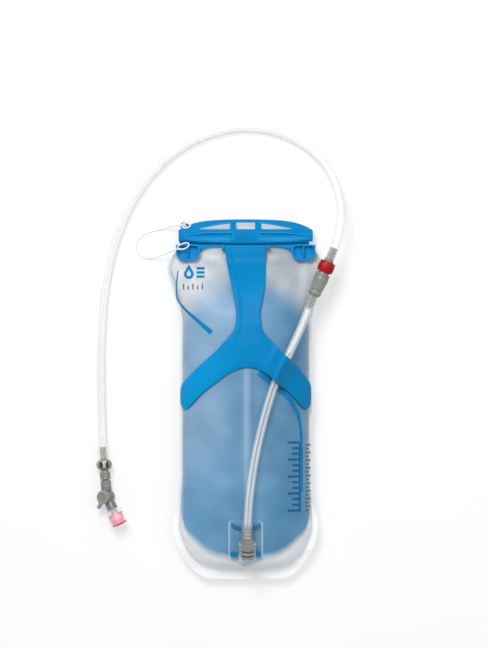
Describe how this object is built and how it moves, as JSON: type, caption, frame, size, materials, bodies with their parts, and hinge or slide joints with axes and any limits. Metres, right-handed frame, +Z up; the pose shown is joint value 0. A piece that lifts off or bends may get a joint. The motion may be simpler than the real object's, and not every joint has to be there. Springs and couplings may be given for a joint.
{
  "type": "hydration bladder",
  "caption": "Filled hiking water bladder with slide closer, forked hose retainer, plug-in outlet, quick coupler, clear drinking hose and swivelling bite valve.",
  "frame": {"origin": "On the surface the bladder lies on, under the middle of the bag with its slide closer, the hose left out", "axes": "+Y along the bag to its slide closer, +Z up out of the front film, +X to the coupler's side"},
  "size_m": [0.2739, 0.5007, 0.065],
  "materials": {
    "film": "frosted translucent film",
    "contents": "tinted water seen through film",
    "weld_web": "frosted",
    "blue_plastic": "satin moulded",
    "tether_cord": "satin",
    "clear_plastic": "clear moulded",
    "grey_plastic": "satin moulded",
    "dark_plastic": "satin moulded",
    "seal_rubber": "satin",
    "hose": "clear extruded",
    "red_plastic": "satin moulded",
    "steel": "polished",
    "pink_silicone": "satin",
    "clear_silicone": "clear",
    "red_silicone": "satin"
  },
  "bodies": {
    "bag": {"front_panel": "film", "back_panel": "film", "water_charge": "contents", "centre_baffle": "weld_web", "mouth_fold": "film", "closure_rail": "blue_plastic", "slider_tether": "tether_cord", "outlet_base": "clear_plastic", "outlet_socket": "clear_plastic", "outlet_clips": "blue_plastic"},
    "slide_closer": {"slider": "blue_plastic"},
    "retainer": {"yoke": "blue_plastic"},
    "lower_hose": {"outlet_plug": "grey_plastic", "outlet_o_rings": "seal_rubber", "lower_tube": "hose", "coupler_body": "grey_plastic"},
    "release_collar": {"coupler_collar": "red_plastic"},
    "upper_hose": {"coupler_plug": "grey_plastic", "coupler_o_ring": "seal_rubber", "upper_tube": "hose", "hose_barb": "grey_plastic", "magnet_housing": "grey_plastic", "magnet": "steel"},
    "bite_valve": {"swivel_sleeve": "grey_plastic", "valve_body": "grey_plastic", "bite_ring": "red_silicone", "bite_core": "pink_silicone", "bite_sheath": "clear_silicone"},
    "shutoff": {"shutoff_barrel": "dark_plastic", "shutoff_dial": "grey_plastic"}
  },
  "joints": [
    {"name": "closer_slide", "type": "slide", "parent": "bag", "child": "slide_closer", "axis": [1, 0, 0], "range_m": [0, 0.135], "deforming": ["slider_tether"]},
    {"name": "retainer_lift", "type": "hinge", "parent": "bag", "child": "retainer", "pos_m": [0, 0.1674, 0.0156], "axis": [-1, 0, 0], "range_deg": [0, 75]},
    {"name": "outlet_pull", "type": "slide", "parent": "bag", "child": "lower_hose", "axis": [0, 0.9703, 0.2419], "range_m": [0, 0.01]},
    {"name": "collar_release", "type": "slide", "parent": "lower_hose", "child": "release_collar", "axis": [-0.3987, -0.9171, 0], "range_m": [0, 0.002], "stiffness_N_per_m": 400, "springref_m": -0.001},
    {"name": "coupler_pull", "type": "slide", "parent": "lower_hose", "child": "upper_hose", "axis": [0.3987, 0.9171, 0], "range_m": [0, 0.026]},
    {"name": "valve_swivel", "type": "hinge", "parent": "upper_hose", "child": "bite_valve", "pos_m": [-0.1566, -0.066, 0.0087], "axis": [0.0872, -0.9962, 0], "continuous": true},
    {"name": "shutoff_turn", "type": "hinge", "parent": "bite_valve", "child": "shutoff", "pos_m": [-0.15294, -0.10784, 0.0087], "axis": [0.4981, 0.0436, -0.866], "range_deg": [0, 90]}
  ]
}
